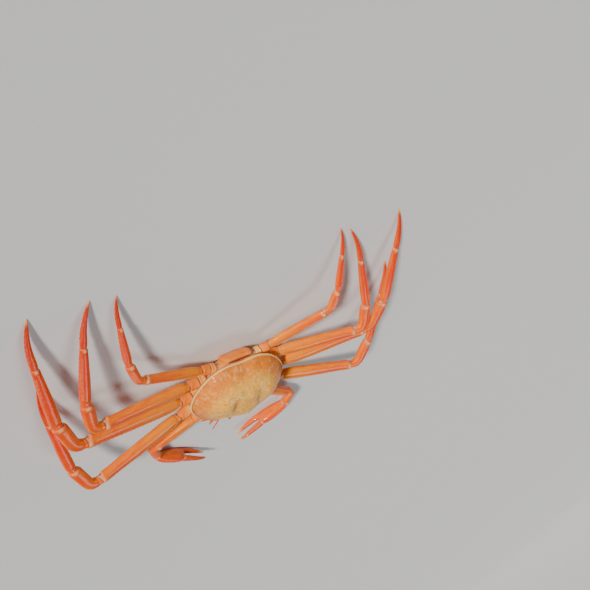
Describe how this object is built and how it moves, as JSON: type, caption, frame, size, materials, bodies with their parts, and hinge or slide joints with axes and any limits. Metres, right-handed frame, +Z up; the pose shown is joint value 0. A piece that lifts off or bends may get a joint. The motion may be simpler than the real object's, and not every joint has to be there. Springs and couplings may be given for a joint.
{
  "type": "red snow crab",
  "caption": "Still, life-size model of a whole red snow crab lying on its belly: a domed shell, long slender legs folded back and slim claws drawn in before the face.",
  "frame": {"origin": "point on the floor under the middle of the body, on the belly's flat where the crab rests", "axes": "-Y the way the crab faces, +X its left, +Z up through the shell"},
  "size_m": [0.3705, 0.3002, 0.0486],
  "materials": {
    "shell": "tan to olive brown shell, finely grained, wet sheen",
    "limb": "orange deepening to red towards the tips, wet gloss",
    "underside": "pale cream-orange, satin",
    "eye": "black, glossy"
  },
  "bodies": {
    "root": {"carapace": "shell", "thorax": "underside", "pleon": "underside", "right_leg1_base": "limb", "right_leg1_merus": "limb", "right_leg1_carpus": "limb", "right_leg1_propodus": "limb", "right_leg1_dactyl": "limb", "right_leg2_base": "limb", "right_leg2_merus": "limb", "right_leg2_carpus": "limb", "right_leg2_propodus": "limb", "right_leg2_dactyl": "limb", "right_leg3_base": "limb", "right_leg3_merus": "limb", "right_leg3_carpus": "limb", "right_leg3_propodus": "limb", "right_leg3_dactyl": "limb", "right_leg4_base": "limb", "right_leg4_merus": "limb", "right_leg4_carpus": "limb", "right_leg4_propodus": "limb", "right_leg4_dactyl": "limb", "right_claw_base": "limb", "right_claw_merus": "limb", "right_claw_carpus": "limb", "right_claw_hand": "limb", "right_claw_finger": "limb", "right_eye": "eye", "right_antenna": "limb", "right_maxilliped": "underside", "left_leg1_base": "limb", "left_leg1_merus": "limb", "left_leg1_carpus": "limb", "left_leg1_propodus": "limb", "left_leg1_dactyl": "limb", "left_leg2_base": "limb", "left_leg2_merus": "limb", "left_leg2_carpus": "limb", "left_leg2_propodus": "limb", "left_leg2_dactyl": "limb", "left_leg3_base": "limb", "left_leg3_merus": "limb", "left_leg3_carpus": "limb", "left_leg3_propodus": "limb", "left_leg3_dactyl": "limb", "left_leg4_base": "limb", "left_leg4_merus": "limb", "left_leg4_carpus": "limb", "left_leg4_propodus": "limb", "left_leg4_dactyl": "limb", "left_claw_base": "limb", "left_claw_merus": "limb", "left_claw_carpus": "limb", "left_claw_hand": "limb", "left_claw_finger": "limb", "left_eye": "eye", "left_antenna": "limb", "left_maxilliped": "underside"}
  },
  "joints": []
}
